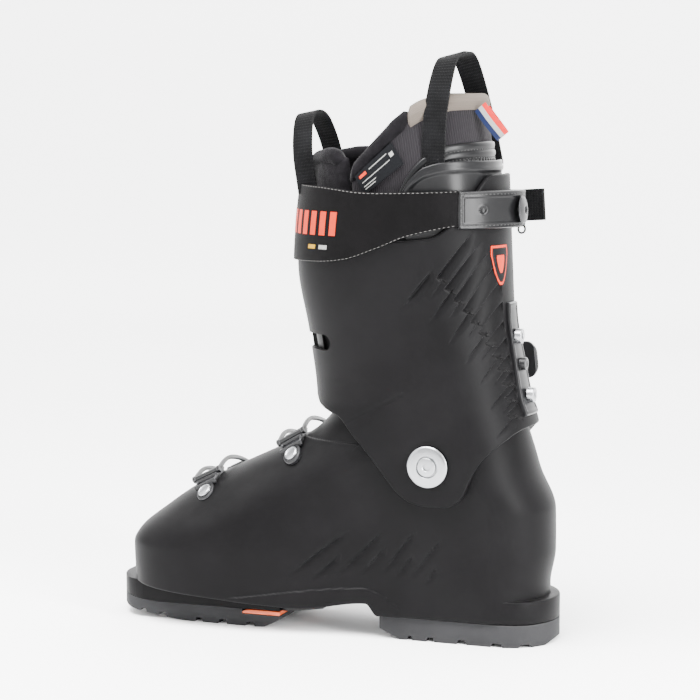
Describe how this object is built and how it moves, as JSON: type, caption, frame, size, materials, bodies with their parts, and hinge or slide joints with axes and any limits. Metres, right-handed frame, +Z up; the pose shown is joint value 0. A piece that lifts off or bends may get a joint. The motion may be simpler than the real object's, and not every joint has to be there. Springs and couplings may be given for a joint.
{
  "type": "alpine ski boot",
  "caption": "Right alpine ski boot: overlap shell, flexing cuff, buckles with levers and bails, removable liner, power strap and rockered soles.",
  "frame": {"origin": "middle of the heel sole's flat tread, on the ground", "axes": "+X towards the toe, +Y towards the inner side of the foot, +Z up"},
  "size_m": [0.308, 0.1284, 0.384],
  "materials": {
    "shell_plastic": "matte black moulded polyurethane, fine texture",
    "gloss_plastic": "satin black moulded plastic",
    "sole_rubber": "mid grey sole rubber, matte",
    "glide_plastic": "orange slide plastic",
    "steel": "turned and brushed stainless steel",
    "black_metal": "black coated aluminium with bare edges",
    "liner_fabric": "charcoal laminated liner fabric",
    "plush": "black brushed plush",
    "webbing": "black woven webbing",
    "strap_fabric": "coated strap cloth with a fine grain"
  },
  "bodies": {
    "lower_boot": {"lower_shell": "shell_plastic", "toe_sole": "sole_rubber", "heel_sole": "sole_rubber", "toe_glide_plate": "glide_plastic", "toe_sole_screw_medial": "steel", "toe_sole_screw_lateral": "steel", "heel_sole_screw_medial": "steel", "heel_sole_screw_lateral": "steel", "arch_bumper": "gloss_plastic", "liner_foot": "liner_fabric", "footbed": "plush", "boot_board": "gloss_plastic", "toe_buckle_base": "black_metal", "toe_buckle_pin": "steel", "toe_buckle_rivet": "steel", "toe_buckle_catch": "black_metal", "toe_buckle_catch_rivet": "steel", "instep_buckle_base": "black_metal", "instep_buckle_pin": "steel", "instep_buckle_rivet": "steel", "instep_buckle_catch": "black_metal", "instep_buckle_catch_rivet": "steel"},
    "upper_boot": {"cuff": "shell_plastic", "rear_spoiler": "gloss_plastic", "pivot_washer_medial": "steel", "pivot_screw_medial": "steel", "pivot_washer_lateral": "steel", "pivot_screw_lateral": "steel", "spine_plate": "gloss_plastic", "spine_screw_upper": "steel", "spine_screw_lower": "steel", "spine_plug": "gloss_plastic", "liner_cuff": "liner_fabric", "liner_tongue": "plush", "power_strap": "strap_fabric", "strap_end_plate": "gloss_plastic", "strap_screw": "black_metal", "strap_tail": "webbing", "rear_pull_loop": "webbing", "front_pull_loop": "webbing", "lower_cuff_buckle_base": "black_metal", "lower_cuff_buckle_pin": "steel", "lower_cuff_buckle_rivet": "steel", "lower_cuff_buckle_catch": "black_metal", "lower_cuff_buckle_catch_rivet": "steel", "upper_cuff_buckle_base": "black_metal", "upper_cuff_buckle_pin": "steel", "upper_cuff_buckle_rivet": "steel", "upper_cuff_buckle_catch": "black_metal", "upper_cuff_buckle_catch_rivet": "steel"},
    "toe_buckle_lever": {"toe_buckle_lever": "black_metal"},
    "toe_buckle_bail": {"toe_buckle_bail": "black_metal"},
    "instep_buckle_lever": {"instep_buckle_lever": "black_metal"},
    "instep_buckle_bail": {"instep_buckle_bail": "black_metal"},
    "lower_cuff_buckle_lever": {"lower_cuff_buckle_lever": "black_metal"},
    "lower_cuff_buckle_bail": {"lower_cuff_buckle_bail": "black_metal"},
    "upper_cuff_buckle_lever": {"upper_cuff_buckle_lever": "black_metal"},
    "upper_cuff_buckle_bail": {"upper_cuff_buckle_bail": "black_metal"}
  },
  "joints": [
    {"name": "cuff_flex", "type": "hinge", "parent": "lower_boot", "child": "upper_boot", "pos_m": [0.023, 0, 0.118], "axis": [0, 1, 0], "range_deg": [0, 8], "stiffness_Nm_per_rad": 400},
    {"name": "toe_buckle_lever_turn", "type": "hinge", "parent": "lower_boot", "child": "toe_buckle_lever", "pos_m": [0.18855, -0.03286, 0.09553], "axis": [-0.8962, 0, 0.4436], "range_deg": [0, 100]},
    {"name": "toe_buckle_bail_turn", "type": "hinge", "parent": "toe_buckle_lever", "child": "toe_buckle_bail", "pos_m": [0.18549, -0.04086, 0.08935], "axis": [-0.8962, 0, 0.4436], "range_deg": [-110.11, 0]},
    {"name": "instep_buckle_lever_turn", "type": "hinge", "parent": "lower_boot", "child": "instep_buckle_lever", "pos_m": [0.12615, -0.03277, 0.12397], "axis": [-0.8701, 0, 0.4928], "range_deg": [0, 100]},
    {"name": "instep_buckle_bail_turn", "type": "hinge", "parent": "instep_buckle_lever", "child": "instep_buckle_bail", "pos_m": [0.12245, -0.04021, 0.11744], "axis": [-0.8701, 0, 0.4928], "range_deg": [-110.11, 0]},
    {"name": "lower_cuff_buckle_lever_turn", "type": "hinge", "parent": "upper_boot", "child": "lower_cuff_buckle_lever", "pos_m": [0.03899, -0.05672, 0.1719], "axis": [0.1045, 0, 0.9945], "range_deg": [0, 100]},
    {"name": "lower_cuff_buckle_bail_turn", "type": "hinge", "parent": "lower_cuff_buckle_lever", "child": "lower_cuff_buckle_bail", "pos_m": [0.02855, -0.05556, 0.173], "axis": [0.1045, 0, 0.9945], "range_deg": [-110.11, 0]},
    {"name": "upper_cuff_buckle_lever_turn", "type": "hinge", "parent": "upper_boot", "child": "upper_cuff_buckle_lever", "pos_m": [0.06059, -0.0598, 0.23784], "axis": [0.1045, 0, 0.9945], "range_deg": [0, 100]},
    {"name": "upper_cuff_buckle_bail_turn", "type": "hinge", "parent": "upper_cuff_buckle_lever", "child": "upper_cuff_buckle_bail", "pos_m": [0.05009, -0.0593, 0.23895], "axis": [0.1045, 0, 0.9945], "range_deg": [-110.11, 0]}
  ],
  "couplings": [
    {"joint": "toe_buckle_bail_turn", "follows": "toe_buckle_lever_turn", "ratio": -1.1},
    {"joint": "instep_buckle_bail_turn", "follows": "instep_buckle_lever_turn", "ratio": -1.1},
    {"joint": "lower_cuff_buckle_bail_turn", "follows": "lower_cuff_buckle_lever_turn", "ratio": -1.1},
    {"joint": "upper_cuff_buckle_bail_turn", "follows": "upper_cuff_buckle_lever_turn", "ratio": -1.1}
  ]
}
